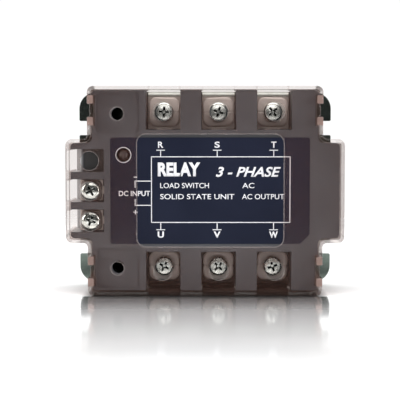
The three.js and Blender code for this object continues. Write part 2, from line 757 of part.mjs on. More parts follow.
const CONTROL_TERMINALS = [
  { name: 'control_minus', z: controlZ[1], recess: 62 },
  { name: 'control_plus', z: controlZ[2], recess: 20 },
];
CONTROL_TERMINALS.forEach(({ name, z, recess }) => {
  const spot = { x: CONTROL.x, z, turn: -Math.PI / 2 };
  place(`${name}_terminal`, controlTerminal(), 'nickel', spot);
  placeClamp(name, spot, CONTROL.floor - CONTROL_TERMINAL.thickness, CONTROL_CLAMP, recess);
});

['r', 's', 't'].forEach((phase, index) => {
  const x = powerX[index];
  const { halfWidth, low, high, thickness } = INSULATOR;
  const layer = [-PLATE.thickness - thickness, -PLATE.thickness];
  const ceramic = box(around(x, halfWidth), layer, [low, high]);
  place(`insulator_${phase}`, ceramic, 'ceramic');
  place(`triac_${phase}`, triac(), 'epoxy', { x });
  place(`optocoupler_${phase}`, optocoupler(x), 'epoxy');
  place(`snubber_capacitor_${phase}`, snubberCapacitor(x), 'film');
  place(`snubber_resistor_${phase}`, snubberResistor(x), 'resistor');
});

export default relay;
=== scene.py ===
"""Three-phase solid state relay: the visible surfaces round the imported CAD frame. Metres, +Z up."""

import json
import math

import bmesh
import bpy
from mathutils import Matrix, Vector


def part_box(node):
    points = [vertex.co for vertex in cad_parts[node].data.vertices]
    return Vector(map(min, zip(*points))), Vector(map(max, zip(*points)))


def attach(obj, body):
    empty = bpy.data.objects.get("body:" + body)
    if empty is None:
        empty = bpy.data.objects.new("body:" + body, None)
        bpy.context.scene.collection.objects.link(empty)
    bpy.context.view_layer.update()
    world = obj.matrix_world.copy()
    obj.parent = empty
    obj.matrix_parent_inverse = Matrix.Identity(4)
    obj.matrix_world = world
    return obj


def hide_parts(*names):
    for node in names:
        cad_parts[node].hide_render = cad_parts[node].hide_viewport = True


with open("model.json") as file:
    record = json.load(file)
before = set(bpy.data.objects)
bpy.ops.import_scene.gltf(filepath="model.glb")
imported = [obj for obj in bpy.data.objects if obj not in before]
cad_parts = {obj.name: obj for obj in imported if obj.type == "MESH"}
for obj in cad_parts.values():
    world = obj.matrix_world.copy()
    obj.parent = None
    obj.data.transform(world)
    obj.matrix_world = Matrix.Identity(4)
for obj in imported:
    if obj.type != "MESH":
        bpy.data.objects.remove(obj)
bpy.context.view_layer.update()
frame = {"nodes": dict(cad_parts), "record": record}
MM = 0.001

POWER = ("line_r", "line_s", "line_t", "load_u", "load_v", "load_w")
CONTROL = ("control_minus", "control_plus")
PHASES = ("r", "s", "t")
BODY_OF_NODE = {n: b for b, nodes in frame["record"]["behaviour"]["bodies"].items() for n in nodes}


def low(node):
    """Lowest corner of a CAD node in millimetres."""
    return Vector(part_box(node)[0]) / MM


def high(node):
    """Highest corner of a CAD node in millimetres."""
    return Vector(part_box(node)[1]) / MM


def middle(node):
    """Centre of a CAD node's box in millimetres."""
    return (low(node) + high(node)) / 2


# ---- Camera ----
CAMERA_DISTANCE = 431.0  # from the cover's front face
CAMERA_HEIGHT = 23.0  # above the relay's middle
CAMERA_TILT = 3.48
CAMERA_PAN = 0.25
LENS = 103.5


def add_object(name, data):
    obj = bpy.data.objects.new(name, data)
    bpy.context.collection.objects.link(obj)
    return obj


def place_camera():
    data = bpy.data.cameras.new("camera")
    data.lens = LENS
    data.sensor_width = 36
    data.clip_start = 0.01
    camera = add_object("camera", data)
    camera.location = (0, (low("cover")[1] - CAMERA_DISTANCE) * MM, CAMERA_HEIGHT * MM)
    camera.rotation_euler = (math.radians(90 - CAMERA_TILT), 0, math.radians(CAMERA_PAN))
    bpy.context.scene.camera = camera


# ---- Mesh helpers ----
def mesh_of(name, vertices, faces):
    """A mesh from points in millimetres, with its faces turned outwards."""
    mesh = bpy.data.meshes.new(name)
    mesh.from_pydata([tuple(c * MM for c in v) for v in vertices], [], faces)
    bm = bmesh.new()
    bm.from_mesh(mesh)
    bmesh.ops.recalc_face_normals(bm, faces=bm.faces)
    bm.to_mesh(mesh)
    bm.free()
    return mesh


def grid_faces(rows, columns, wrap_rows=False, wrap_columns=True):
    """Quads of a grid whose point (row, column) is number row * columns + column."""
    faces = []
    for row in range(rows if wrap_rows else rows - 1):
        for column in range(columns if wrap_columns else columns - 1):
            here, down = row * columns, (row + 1) % rows * columns
            along = (column + 1) % columns
            faces.append((here + column, here + along, down + along, down + column))
    return faces


def tube_faces(rows, columns):
    """The faces of a closed tube of so many rings, with a cap at each end."""
    last = (rows - 1) * columns
    return grid_faces(rows, columns) + [tuple(range(columns)), tuple(range(last, last + columns))]


def circle(radius, steps):
    """The points of a circle round the origin."""
    angles = [2 * math.pi * i / steps for i in range(steps)]
    return [(radius * math.cos(a), radius * math.sin(a)) for a in angles]


def quarter_angles(steps):
    """Angles from 0 to 90 degrees in equal steps."""
    return [math.pi / 2 * i / steps for i in range(steps + 1)]


def rounded(corners, steps=8):
    """A closed outline from corners (x, z, radius), each rounded by an arc."""
    points = []
    for i, (x, z, radius) in enumerate(corners):
        corner = Vector((x, z))
        if radius <= 0:
            points.append(corner)
            continue
        before = (Vector(corners[i - 1][:2]) - corner).normalized()
        after = (Vector(corners[(i + 1) % len(corners)][:2]) - corner).normalized()
        half = before.angle(after) / 2
        centre = corner + (before + after).normalized() * radius / math.sin(half)
        start = corner + before * radius / math.tan(half) - centre
        turn = math.copysign(1, before.cross(after)) * (2 * half - math.pi)
        for step in range(steps + 1):
            angle = turn * step / steps
            c, s = math.cos(angle), math.sin(angle)
            points.append(centre + Vector((start.x * c - start.y * s, start.x * s + start.y * c)))
    return points


def rectangle(x, z, width, height, radius, steps=8):
    w, h = width / 2, height / 2
    corners = ((x - w, z - h), (x + w, z - h), (x + w, z + h), (x - w, z + h))
    return rounded([(*corner, radius) for corner in corners], steps)


def four_quarters(quarter):
    """The corners of a whole outline from those of its upper right quarter, mirrored in both axes."""
    corners = []
    for sign_x, sign_z, order in ((1, 1, 1), (-1, 1, -1), (-1, -1, 1), (1, -1, -1)):
        corners += [(sign_x * x, sign_z * z, radius) for x, z, radius in quarter[::order]]
    return corners


def loft(name, sections):
    """A closed solid through outlines of equally many points, each given as (outline, y)."""
    vertices = [(p[0], y, p[1]) for outline, y in sections for p in outline]
    return mesh_of(name, vertices, tube_faces(len(sections), len(sections[0][0])))


def lathe(name, profile, x=0.0, z=0.0, steps=48):
    """A solid of revolution round a Y axis. The profile (radius, y) starts and ends on the axis."""
    vertices = [(x + dx, y, z + dz) for r, y in profile[1:-1] for dx, dz in circle(r, steps)]
    rows = len(profile) - 2
    faces = grid_faces(rows, steps)
    first, last = len(vertices), len(vertices) + 1
    vertices += [(x, profile[0][1], z), (x, profile[-1][1], z)]
    for i in range(steps):
        j = (i + 1) % steps
        faces.append((first, i, j))
        faces.append((last, (rows - 1) * steps + j, (rows - 1) * steps + i))
    return mesh_of(name, vertices, faces)


def rod(name, radius, start, end, chamfer=0.0, x=0.0, z=0.0, steps=40):
    """A round rod along Y, which may have a chamfer at its end."""
    rim = [(radius, end - chamfer), (radius - chamfer, end)] if chamfer else [(radius, end)]
    return lathe(name, [(0, start), (radius, start), *rim, (0, end)], x, z, steps)


def block(name, span_x, span_y, span_z):
    """A rectangular solid from its extents along each axis."""
    corners = [(x, y, z) for x in span_x for y in span_y for z in span_z]
    faces = [(0, 1, 3, 2), (4, 6, 7, 5), (0, 4, 5, 1), (2, 3, 7, 6), (0, 2, 6, 4), (1, 5, 7, 3)]
    return mesh_of(name, corners, faces)


def merged(name, meshes):
    """One mesh holding all the given ones, which are deleted."""
    bm = bmesh.new()
    for mesh in meshes:
        bm.from_mesh(mesh)
        bpy.data.meshes.remove(mesh)
    result = bpy.data.meshes.new(name)
    bm.to_mesh(result)
    bm.free()
    return result


def evaluated_mesh(obj):
    depsgraph = bpy.context.evaluated_depsgraph_get()
    return bpy.data.meshes.new_from_object(obj.evaluated_get(depsgraph))


def applied(obj):
    """Replaces an object's mesh with its mesh after the modifiers."""
    mesh = evaluated_mesh(obj)
    obj.modifiers.clear()
    obj.data = mesh
    return obj


def released(obj):
    """The mesh of an object that is no longer needed."""
    mesh = obj.data
    bpy.data.objects.remove(obj)
    return mesh


def combine(obj, tools, operation="DIFFERENCE", cut_slot=0):
    """Cuts the tools, a list of meshes, from the object or joins them to it."""
    tool = add_object("tool", merged("tool", tools))
    for slot in obj.data.materials:
        tool.data.materials.append(slot)
    tool.data.polygons.foreach_set("material_index", [cut_slot] * len(tool.data.polygons))
    modifier = obj.modifiers.new("combine", "BOOLEAN")
    modifier.operation = operation
    modifier.solver = "EXACT"
    modifier.material_mode = "INDEX"
    modifier.object = tool
    applied(obj)
    bpy.data.objects.remove(tool)
    return obj


def bevel(obj, width, segments=2, angle=35):
    """A modifier that rounds the edges sharper than an angle, by a width in millimetres."""
    modifier = obj.modifiers.new("bevel", "BEVEL")
    modifier.width = width * MM
    modifier.segments = segments
    modifier.limit_method = "ANGLE"
    modifier.angle_limit = math.radians(angle)
    return modifier


def soften(obj, width, segments=2, angle=35):
    bevel(obj, width, segments, angle)
    return applied(obj)


def smooth(obj, angle=32, level_faces=False):
    """Smooth shading below the angle; level_faces keeps large flat faces flat beside their rounded edges."""
    obj.data.polygons.foreach_set("use_smooth", [True] * len(obj.data.polygons))
    obj.data.set_sharp_from_angle(angle=math.radians(angle))
    obj.data.update()
    if level_faces:
        weighted = obj.modifiers.new("level_faces", "WEIGHTED_NORMAL")
        weighted.mode = "FACE_AREA"
        weighted.weight = 100
        weighted.keep_sharp = True
        applied(obj)
    return obj


def finished(obj, node, *materials):
    """Gives a piece its materials and lets it stand for a CAD node, on that node's body."""
    slots = obj.data.materials
    while len(slots) < len(materials):
        slots.append(None)
    for index, material in enumerate(materials):
        slots[index] = material
    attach(obj, BODY_OF_NODE[node])
    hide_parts(node)


def smoothed(mesh, angle):
    """A mesh that several pieces share, shaded smoothly."""
    return released(smooth(add_object("shape", mesh), angle, level_faces=True))


def placed(name, mesh, axis, turn):
    """A piece made round the Y axis, moved to a screw's axis and turned by an angle in radians."""
    obj = add_object(name, mesh)
    obj.location = (axis.x * MM, 0, axis.z * MM)
    obj.rotation_euler = (0, turn, 0)
    bpy.context.view_layer.update()
    return obj


# ---- Materials ----
# Ramps pair a place in millimetres with a grey or colour, or with a mask from 0 to 1.
# Painted shade: the housing's colour darkens with depth, in a thin band just behind its front face on the
# walls of its shallow recesses, and more deeply and bluish inside its pockets.
PAINTED_DEPTH_SHADE = ((-28.5, 1.0), (-28.42, 0.45), (-28.08, 0.45), (-28.0, 0.97), (-27.5, 0.8),
                  (-26, (0.46, 0.5, 0.54)), (-20, (0.24, 0.28, 0.32)), (-14, 0.22), (-3, 0.22))
POCKET_DEPTHS = ((-27, 0.0), (-26, 1.0))
# Patches of painted shade and painted light on the housing: each is a grey mixed in over ramps along X, Y and
# Z.
PAINTED_HOUSING_PATCHES = {
    # Painted shadow: a thin dark strip on the housing just under the window's top edge.
    "painted shadow under the window's top edge": (0.025, (
        ((-26.5, 0.0), (-25, 1.0), (29, 1.0), (30.5, 0.0)), ((-28.6, 1.0), (-28.3, 0.0)),
        ((20, 0.0), (20.1, 1.0), (21.3, 0.7), (21.8, 0.0)))),
    # Painted light: a lighter grey on the floors at the open left ends of the control pockets.
    "painted light at the open ends of the control pockets": (0.55, (
        ((-48.2, 0.8), (-47.5, 0.4), (-46.8, 0.1), (-46.2, 0.0)), POCKET_DEPTHS, ())),
    # Painted shade: the floor of the blank control pocket goes near black.
    "painted shade in the blank control pocket": (0.05, (
        ((-46.8, 0.0), (-45.8, 1.0), (-36, 1.0), (-35, 0.0)), POCKET_DEPTHS,
        ((6.2, 0.0), (6.6, 1.0), (16.3, 1.0), (16.7, 0.0)))),
}
COVER_RIPPLE = 0.03  # height of the cover's slow waves
HEAD_ON_GLOSS = 0.004  # share of light that the cover mirrors head on


def set_inputs(node, **sockets):
    """Sets a node's input values, where an underscore in a name stands for a space."""
    for socket, value in sockets.items():
        node.inputs[socket.replace("_", " ")].default_value = value
    return node


def add_node(nodes, kind, **sockets):
    return set_inputs(nodes.new(f"ShaderNode{kind}"), **sockets)


class Finish:
    """A Principled material with noise for its colour, roughness and relief."""

    def __init__(self, name, colour, roughness, metallic=0.0, **sockets):
        self.material = bpy.data.materials.new(name)
        self.material.use_nodes = True
        self.nodes = self.material.node_tree.nodes
        self.links = self.material.node_tree.links
        self.shader = self.nodes["Principled BSDF"]
        set_inputs(self.shader, Base_Color=(*colour, 1), Roughness=roughness, Metallic=metallic, **sockets)
        self.coordinates = self.nodes.new("ShaderNodeTexCoord")
        self.relief = None

    def noise(self, grain, detail=3.0, stretch=(1, 1, 1)):
        """Noise whose grains are so many millimetres across, longer along the axes that stretch names."""
        mapping = add_node(self.nodes, "Mapping", Scale=[1 / (grain * MM * s) for s in stretch])
        self.links.new(self.coordinates.outputs["Object"], mapping.inputs["Vector"])
        texture = add_node(self.nodes, "TexNoise", Scale=1.0, Detail=detail)
        self.links.new(mapping.outputs["Vector"], texture.inputs["Vector"])
        return texture.outputs["Fac"]

    def ranged(self, value, start, end, low_value=0.35, high_value=0.65):
        remap = add_node(self.nodes, "MapRange", From_Min=low_value, From_Max=high_value, To_Min=start,
                         To_Max=end)
        self.links.new(value, remap.inputs["Value"])
        return remap.outputs["Result"]

    def steps(self, value, stops):
        """A colour that runs through stops (millimetres, grey or colour) along a coordinate in metres."""
        first, last = stops[0][0], stops[-1][0]
        ramp = self.nodes.new("ShaderNodeValToRGB")
        elements = ramp.color_ramp.elements
        while len(elements) < len(stops):
            elements.new(0.5)
        for element, (place, shade) in zip(elements, stops):
            element.position = (place - first) / (last - first)
            element.color = (*(shade if isinstance(shade, tuple) else (shade,) * 3), 1)
        self.links.new(self.ranged(value, 0.0, 1.0, first * MM, last * MM), ramp.inputs["Fac"])
        return ramp.outputs["Color"]

    def mixed(self, first, second, blend="MIX", share=None):
        """Two colours mixed; second may be a plain grey, and share a mask of where it comes in."""
        mix = self.nodes.new("ShaderNodeMix")
        mix.data_type = "RGBA"
        mix.blend_type = blend
        mix.inputs["Factor"].default_value = 1.0
        if share is not None:
            self.links.new(share, mix.inputs["Factor"])
        self.links.new(first, mix.inputs["A"])
        if isinstance(second, float):
            mix.inputs["B"].default_value = (second, second, second, 1)
        else:
            self.links.new(second, mix.inputs["B"])
        return mix.outputs["Result"]

    def patch(self, *stops):
        """A shade or mask from ramps along X, Y and Z in turn, where an empty one leaves its axis free."""
        mask = None
        axes = self.nodes.new("ShaderNodeSeparateXYZ")
        self.links.new(self.coordinates.outputs["Object"], axes.inputs["Vector"])
        for name, ramp in zip("XYZ", stops):
            if ramp:
                along = self.steps(axes.outputs[name], ramp)
                mask = along if mask is None else self.mixed(mask, along, "MULTIPLY")
        return mask

    def shader_of(self, kind, colour, **sockets):
        """The output of one more shader, beside the Principled one or instead of it."""
        return add_node(self.nodes, f"Bsdf{kind}", Color=(*colour, 1), **sockets).outputs["BSDF"]

    def between(self, share, first, second):
        """Two shaders mixed, where share is a number or another node's value."""
        mix = self.nodes.new("ShaderNodeMixShader")
        if isinstance(share, float):
            mix.inputs["Fac"].default_value = share
        else:
            self.links.new(share, mix.inputs["Fac"])
        self.links.new(first, mix.inputs[1])
        self.links.new(second, mix.inputs[2])
        return mix.outputs["Shader"]

    def surface(self, shader):
        self.links.new(shader, self.nodes["Material Output"].inputs["Surface"])

    def colours(self, value, first, second, low_value=0.35, high_value=0.65):
        """A base colour that runs between two colours as the value does between its low and high."""
        ramp = self.nodes.new("ShaderNodeValToRGB")
        ramp.color_ramp.elements[0].position = low_value
        ramp.color_ramp.elements[1].position = high_value
        ramp.color_ramp.elements[0].color = (*first, 1)
        ramp.color_ramp.elements[1].color = (*second, 1)
        self.links.new(value, ramp.inputs["Fac"])
        self.links.new(ramp.outputs["Color"], self.shader.inputs["Base Color"])
        return self

    def rough(self, value, start, end):
        self.links.new(self.ranged(value, start, end), self.shader.inputs["Roughness"])
        return self

    def bump(self, value, height):
        """Relief of the given height in millimetres, on top of any relief added before."""
        node = add_node(self.nodes, "Bump", Strength=1.0, Distance=height * MM)
        self.links.new(value, node.inputs["Height"])
        if self.relief is not None:
            self.links.new(self.relief, node.inputs["Normal"])
        self.relief = node.outputs["Normal"]
        self.links.new(self.relief, self.shader.inputs["Normal"])
        return self


def linear(red, green, blue):
    """An sRGB colour of 0 to 255 as linear light."""
    def channel(value):
        v = value / 255
        return v / 12.92 if v <= 0.04045 else ((v + 0.055) / 1.055) ** 2.4
    return (channel(red), channel(green), channel(blue))


def moulded_plastic(name, colour, roughness, grain, relief):
    finish = Finish(name, colour, roughness)
    finish.colours(finish.noise(14, 4), tuple(c * 0.88 for c in colour), tuple(c * 1.14 for c in colour))
    finish.rough(finish.noise(3, 4), roughness - 0.06, roughness + 0.08)
    return finish.bump(finish.noise(grain, 2), relief).material


def plated_metal(name, roughness, metallic, relief, colour, stain):
    finish = Finish(name, colour, roughness, metallic)
    finish.colours(finish.noise(2.6, 3), stain, colour, 0.3, 0.6)
    finish.rough(finish.noise(1.6, 2), roughness - 0.04, roughness + 0.05)
    return finish.bump(finish.noise(0.4, 3), relief).material


def rolled_aluminium():
    colour = (0.225, 0.272, 0.243)
    finish = Finish("rolled_aluminium", colour, 0.16, metallic=1.0)
    streaks = finish.noise(0.12, 3, stretch=(60, 1, 1))
    finish.colours(finish.noise(30, 2), (0.2, 0.245, 0.217), colour)
    finish.rough(streaks, 0.12, 0.2)
    return finish.bump(streaks, 0.0008).bump(finish.noise(0.5, 4), 0.0005).material


def clear_plastic(name, tint, haze, haze_share, gloss_roughness, lit_through):
    """See-through plastic: a tint, haze lit from both sides, and a gloss that grows at a glance."""
    finish = Finish(name, tint, gloss_roughness)
    nodes, links = finish.nodes, finish.links
    nodes.remove(finish.shader)
    clear = finish.shader_of("Transparent", tint)
    front_lit = finish.shader_of("Diffuse", haze)
    back_lit = finish.shader_of("Translucent", haze)
    gloss = finish.shader_of("Glossy", (0.8, 0.8, 0.8), Roughness=gloss_roughness)
    bump = add_node(nodes, "Bump", Distance=COVER_RIPPLE * MM)
    links.new(finish.noise(11, 2), bump.inputs["Height"])
    links.new(bump.outputs["Normal"], gloss.node.inputs["Normal"])
    share = finish.ranged(finish.noise(5, 6), haze_share * 0.75, haze_share * 1.25, 0.0, 1.0)
    facing = add_node(nodes, "LayerWeight", Blend=0.5)
    power = nodes.new("ShaderNodeMath")
    power.operation = "POWER"
    power.inputs[1].default_value = 5.0
    links.new(facing.outputs["Facing"], power.inputs[0])
    fresnel = finish.ranged(power.outputs["Value"], HEAD_ON_GLOSS, 1.0, 0.0, 1.0)
    hazy = finish.between(lit_through, front_lit, back_lit)
    finish.surface(finish.between(fresnel, finish.between(share, clear, hazy), gloss))
    return finish.material


def housing_plastic():
    """The housing's dark plastic, with painted shade that darkens it in its depth and a few patches of
    painted shade and painted light.
    """
    housing = Finish("moulded_housing", linear(75, 76, 80), 0.5, Specular_IOR_Level=0.2)
    housing.colours(housing.noise(14, 4), linear(74, 75, 79), linear(80, 81, 85))
    shade = housing.shader.inputs["Base Color"].links[0].from_socket
    shade = housing.mixed(shade, housing.patch((), PAINTED_DEPTH_SHADE), "MULTIPLY")
    for grey, ramps in PAINTED_HOUSING_PATCHES.values():
        shade = housing.mixed(shade, grey, share=housing.patch(*ramps))
    housing.links.new(shade, housing.shader.inputs["Base Color"])
    housing.rough(housing.noise(3, 4), 0.44, 0.56).bump(housing.noise(0.6, 2), 0.002)
    return housing.material


METALS = {  # name, roughness, metallic, relief, colour and stain
    "clamp": ("satin_nickel_clamp", 0.4, 0.2, 0.0008, (0.86, 0.765, 0.715), (0.8, 0.71, 0.66)),
    # Painted shade: the control clamps take a darker copy of the clamp finish, for the shade in their
    # pockets.
    "shaded_clamp": ("dull_nickel_clamp", 0.4, 0.5, 0.0008, (0.25, 0.22, 0.208), (0.21, 0.185, 0.172)),
    "terminal": ("nickel_terminal", 0.42, 0.5, 0.0008, (0.66, 0.59, 0.55), (0.6, 0.535, 0.5)),
    # Painted shade: dark_terminal and dark_end are darkened copies of terminal and light_end, for the lower
    # power terminals in the shade.
    "dark_terminal": ("tarnished_terminal", 0.6, 0.0, 0.0008, (0.06, 0.055, 0.05), (0.04, 0.037, 0.035)),
    "light_end": ("bright_terminal_end", 0.4, 1.0, 0.0008, (0.42, 0.43, 0.4), (0.36, 0.37, 0.34)),
    "dark_end": ("tarnished_terminal_end", 0.6, 0.0, 0.0008, (0.03, 0.03, 0.03), (0.02, 0.02, 0.02)),
    "zinc": ("zinc_plate", 0.24, 0.92, 0.0006, (0.86, 0.88, 0.83), (0.78, 0.8, 0.75)),
    "bright_zinc": ("bright_zinc_plate", 0.13, 1.0, 0.0006, (0.74, 0.75, 0.7), (0.68, 0.69, 0.64)),
    # Painted shade: the recesses of the terminal screws are painted near black.
    "recess": ("oiled_recess", 0.4, 1.0, 0.0008, (0.025, 0.025, 0.022), (0.015, 0.015, 0.013)),
}
CLEAR_PLASTICS = {  # name, tint, haze and its share, roughness of the gloss, share of haze lit from behind
    "cover": ("smoky_clear_plastic", (0.915, 0.9, 0.893), (0.82, 0.44, 0.34), 0.013, 0.04, 0.0),
    "cover_side": ("smoky_plastic_wall", (0.89, 0.845, 0.83), (0.6, 0.45, 0.4), 0.1, 0.04, 0.0),
    "cover_rim": ("smoky_plastic_cut_edge", (0.9, 0.85, 0.83), (1.0, 0.9, 0.87), 0.22, 0.15, 0.5),
    "cover_rib": ("smoky_plastic_in_depth", (0.86, 0.76, 0.73), (0.6, 0.47, 0.43), 0.5, 0.1, 0.4),
}
MOULDED_PLASTICS = {  # name, colour, roughness, grain and relief
    "epoxy": ("package_epoxy", (0.02, 0.02, 0.022), 0.55, 0.15, 0.012),
    "capacitor": ("capacitor_case", (0.5, 0.31, 0.05), 0.35, 0.8, 0.004),
    "resistor": ("resistor_lacquer", (0.16, 0.27, 0.36), 0.3, 0.6, 0.01),
}


def make_materials():
    film = Finish("navy_film", linear(27, 30, 46), 0.3, Specular_IOR_Level=0.1)
    film.colours(film.noise(25, 2), linear(27, 31, 46), linear(31, 35, 51))
    film.rough(film.noise(30, 2), 0.28, 0.34)
    ink = Finish("white_ink", (0.82, 0.83, 0.86), 0.5)
    ink.colours(ink.noise(0.8, 4), (0.74, 0.75, 0.79), (0.88, 0.88, 0.9))
    lens = Finish("lamp_lens", linear(52, 40, 41), 0.35, Subsurface_Weight=0.2)
    lens.colours(lens.noise(1.2, 3), linear(46, 35, 36), linear(56, 41, 41))
    board = Finish("solder_mask", (0.03, 0.14, 0.06), 0.35, Coat_Weight=0.5)
    board.colours(board.noise(1.6, 5, stretch=(4, 1, 1)), (0.02, 0.10, 0.045), (0.05, 0.19, 0.085))
    ceramic = Finish("alumina", (0.82, 0.81, 0.77), 0.45)
    ceramic.colours(ceramic.noise(0.6, 4), (0.77, 0.76, 0.72), (0.85, 0.84, 0.8))
    ceramic.bump(ceramic.noise(0.2), 0.003)
    resin = Finish("potting_resin", (0.55, 0.55, 0.63), 0.3, Coat_Weight=0.3)
    resin.colours(resin.noise(6, 4), (0.49, 0.49, 0.56), (0.61, 0.61, 0.69)).bump(resin.noise(5, 2), 0.1)
    made = {"film": film, "ink": ink, "lens": lens, "board": board, "ceramic": ceramic, "resin": resin}
    materials = {key: finish.material for key, finish in made.items()}
    materials["plate"] = rolled_aluminium()
    materials["housing"] = housing_plastic()
    for table, kind in ((CLEAR_PLASTICS, clear_plastic), (MOULDED_PLASTICS, moulded_plastic),
                        (METALS, plated_metal)):
        materials |= {key: kind(*values) for key, values in table.items()}
    return materials


# ---- Outlines of the relay ----
LATCH_Z, LATCH_TONGUE, LATCH_RIBS = 30.4, 2.45, 5.65
LATCH_RECESS, LATCH_RIB_DEPTH = 1.0, 1.1
COVER_WALL = 1.2
HALF_BODY, HALF_WING = 44.3, 19.6


def plus_outline(inset, radii, step_depth, step_half, half):
    """The plus-shaped outline, set in by inset, with a step at each latch."""
    width, height = half[0] - inset, half[1] - inset
    body, wing = HALF_BODY - inset, HALF_WING - inset
    wing_radius, inner_radius, body_radius = radii
    quarter = [
        (width, wing, max(wing_radius - inset, 0.05)),
        (body, wing, inner_radius + inset),
        (body, LATCH_Z - step_half, 0.2),
        (body - step_depth, LATCH_Z - step_half, 0.2),
        (body - step_depth, LATCH_Z + step_half, 0.2),
        (body, LATCH_Z + step_half, 0.2),
        (body, height, max(body_radius - inset, 0.05)),
    ]
    return rounded(four_quarters(quarter), 6)


def quarter_arc(radius, steps=5):
    """Pairs (inset, distance from the face) along a rounded edge, from the side to the face."""
    return [(radius * (1 - math.cos(a)), radius * (1 - math.sin(a))) for a in quarter_angles(steps)]


# ---- Clear cover ----
WINDOW = {"x": 2.0, "z": 0.25, "width": 55.0, "height": 42.2, "radius": 3.3, "chamfer": 0.35}
ACCESS_RADIUS, ACCESS_CHAMFER = 3.52, 0.2
FILL_HOLE = {"x": -33.0, "z": 29.1, "radius": 2.4, "chamfer": 0.3}
WIRE_ENTRY = {"half_width": 6.2, "front": -20, "radius": 2}
CONTROL_ENTRY = {"half_width": 3.9, "front": -28, "radius": 1.5}


def hole_tool(x, z, radius, front, chamfer=ACCESS_CHAMFER):
    end = front + COVER_WALL + 1
    profile = [(0, front - 1), (radius + chamfer, front - 1), (radius + chamfer, front),
               (radius, front + chamfer), (radius, end), (0, end)]
    return lathe("hole", profile, x, z, steps=56)


def window_tool(front):
    window, chamfer = WINDOW, WINDOW["chamfer"]
    sections = []
    for grow, y in ((chamfer, front - 1), (chamfer, front), (0.3 * chamfer, front + 0.12),
                    (0, front + chamfer), (0, front + COVER_WALL + 1)):
        width, height = window["width"] + 2 * grow, window["height"] + 2 * grow
        sections.append((rectangle(window["x"], window["z"], width, height, window["radius"] + grow, 10), y))
    return loft("window", sections)


def entry_tool(centre, sizes, back, depths, point):
    """An opening in a wall with rounded front corners; point places (along the wall, y, depth)."""
    half, front, radius = sizes["half_width"], sizes["front"], sizes["radius"]
    outline = rounded([(centre - half, front, radius), (centre + half, front, radius),
                       (centre + half, back + 1, 0), (centre - half, back + 1, 0)], 6)
    vertices = [point(along, y, depth) for depth in depths for along, y in outline]
    return mesh_of("entry", vertices, tube_faces(2, len(outline)))


def wire_entry(axis, side, back):
    edge = high("cover")[2]
    return entry_tool(axis.x, WIRE_ENTRY, back, (side * (edge - 3), side * (edge + 1)),
                      lambda along, y, depth: (along, y, depth))


def control_entry(z, back):
    edge = low("cover")[0]
    return entry_tool(z, CONTROL_ENTRY, back, (edge - 1, edge + 3),
                      lambda along, y, depth: (depth, y, along))


def control_heights():
    pitch = middle("control_minus_screw").z - middle("control_plus_screw").z
    return [middle("control_minus_screw").z + step * pitch for step in (1, 0, -1)]


def make_cover(finish):
    front, back = low("cover")[1], high("cover")[1]
    half = (high("cover")[0], high("cover")[2])
    radii = (2.5, 1.5, 2.3)
    recess = (LATCH_RECESS, LATCH_TONGUE)
    ribs = (LATCH_RIB_DEPTH, LATCH_RIBS)
    edge = [(plus_outline(inset, radii, *recess, half), front + down) for inset, down in quarter_arc(0.9)]
    outer = loft("cover", [(plus_outline(0, radii, *recess, half), back)] + edge)
    hollow_edge = [(plus_outline(COVER_WALL + inset, radii, *ribs, half), front + COVER_WALL + down)
                   for inset, down in quarter_arc(0.5, 3)]
    hollow = loft("hollow", [(plus_outline(COVER_WALL, radii, *ribs, half), back + 1)] + hollow_edge)
    cover = add_object("clear_cover", outer)
    for key in ("cover", "cover_rim", "cover_side"):
        cover.data.materials.append(finish[key])
    combine(cover, [hollow])
    holes, entries = [window_tool(front)], []
    for name in POWER:
        axis = middle(f"{name}_screw")
        holes.append(hole_tool(axis.x, axis.z, ACCESS_RADIUS, front))
        entries.append(wire_entry(axis, math.copysign(1, axis.z), back))
    column = middle("control_minus_screw").x
    for z in control_heights():
        holes.append(hole_tool(column, z, ACCESS_RADIUS, front))
        entries.append(control_entry(z, back))
    fill = FILL_HOLE
    for side in (1, -1):
        holes.append(hole_tool(fill["x"], side * fill["z"], fill["radius"], front, fill["chamfer"]))
    combine(cover, entries)
    for face in cover.data.polygons:
        face.material_index = 2 if abs(face.normal.y) < 0.5 else 0
    combine(cover, holes, cut_slot=1)
    finished(smooth(cover, 25, level_faces=True), "cover")
    make_latch_ribs(finish, front, back)


def make_latch_ribs(finish, front, back):
    """The thick ribs on both sides of each latch tongue, seen along their whole depth."""
    thickness = COVER_WALL + LATCH_RIB_DEPTH
    middle_offset = (LATCH_TONGUE + LATCH_RIBS) / 2
    width = LATCH_RIBS - LATCH_TONGUE - 0.1
    for side_x, name_x in ((-1, "left"), (1, "right")):
        for side_z, name_z in ((1, "upper"), (-1, "lower")):
            for step, name_step in ((-1, "inner"), (1, "outer")):
                z = side_z * (LATCH_Z + step * middle_offset)
                x = side_x * (HALF_BODY - thickness / 2)
                outline = rectangle(x, z, thickness - 0.1, width, 0.35, 5)
                mesh = loft("rib", [(outline, back - 0.2), (outline, front + COVER_WALL / 2)])
                rib = add_object(f"cover_rib_{name_z}_{name_x}_{name_step}", mesh)
                rib.data.materials.append(finish["cover_rib"])
                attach(smooth(rib), "cover")


# ---- Base plate ----
SLOT_HALF_WIDTH, SLOT_END, SLOT_Z, PLATE_RADIUS = 2.8, 44.2, 23.8, 6.5
COUNTERSINK = {"bore": 1.6, "head": 3.0}
PLATE_SCREWS = tuple(f"plate_screw_{i}" for i in range(1, 5))


